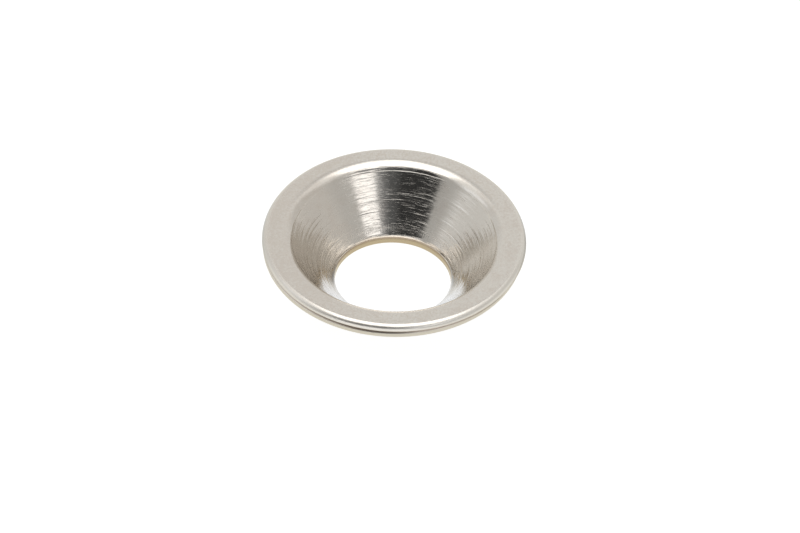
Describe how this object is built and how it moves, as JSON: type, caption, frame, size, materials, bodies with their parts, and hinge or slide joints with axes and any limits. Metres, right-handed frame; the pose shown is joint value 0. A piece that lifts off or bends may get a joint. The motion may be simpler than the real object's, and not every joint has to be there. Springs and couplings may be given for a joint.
{
  "type": "countersunk washer",
  "caption": "Turned countersunk washer: a thin flange with a beaded rim around a conical seat for a countersunk screw head, with a short straight bore below it.",
  "frame": {"origin": "centre of the bore in the plane of the base ring, the lowest plane of the part", "axes": "+Z along the bore, from the base ring towards the flange; X and Y are interchangeable"},
  "size_m": [0.015, 0.015, 0.0037],
  "materials": {
    "nickel": "nickel plate over turned brass: satin on the flange, bright with fine concentric tool marks in the cone"
  },
  "bodies": {
    "root": {"washer": "nickel"}
  },
  "joints": []
}
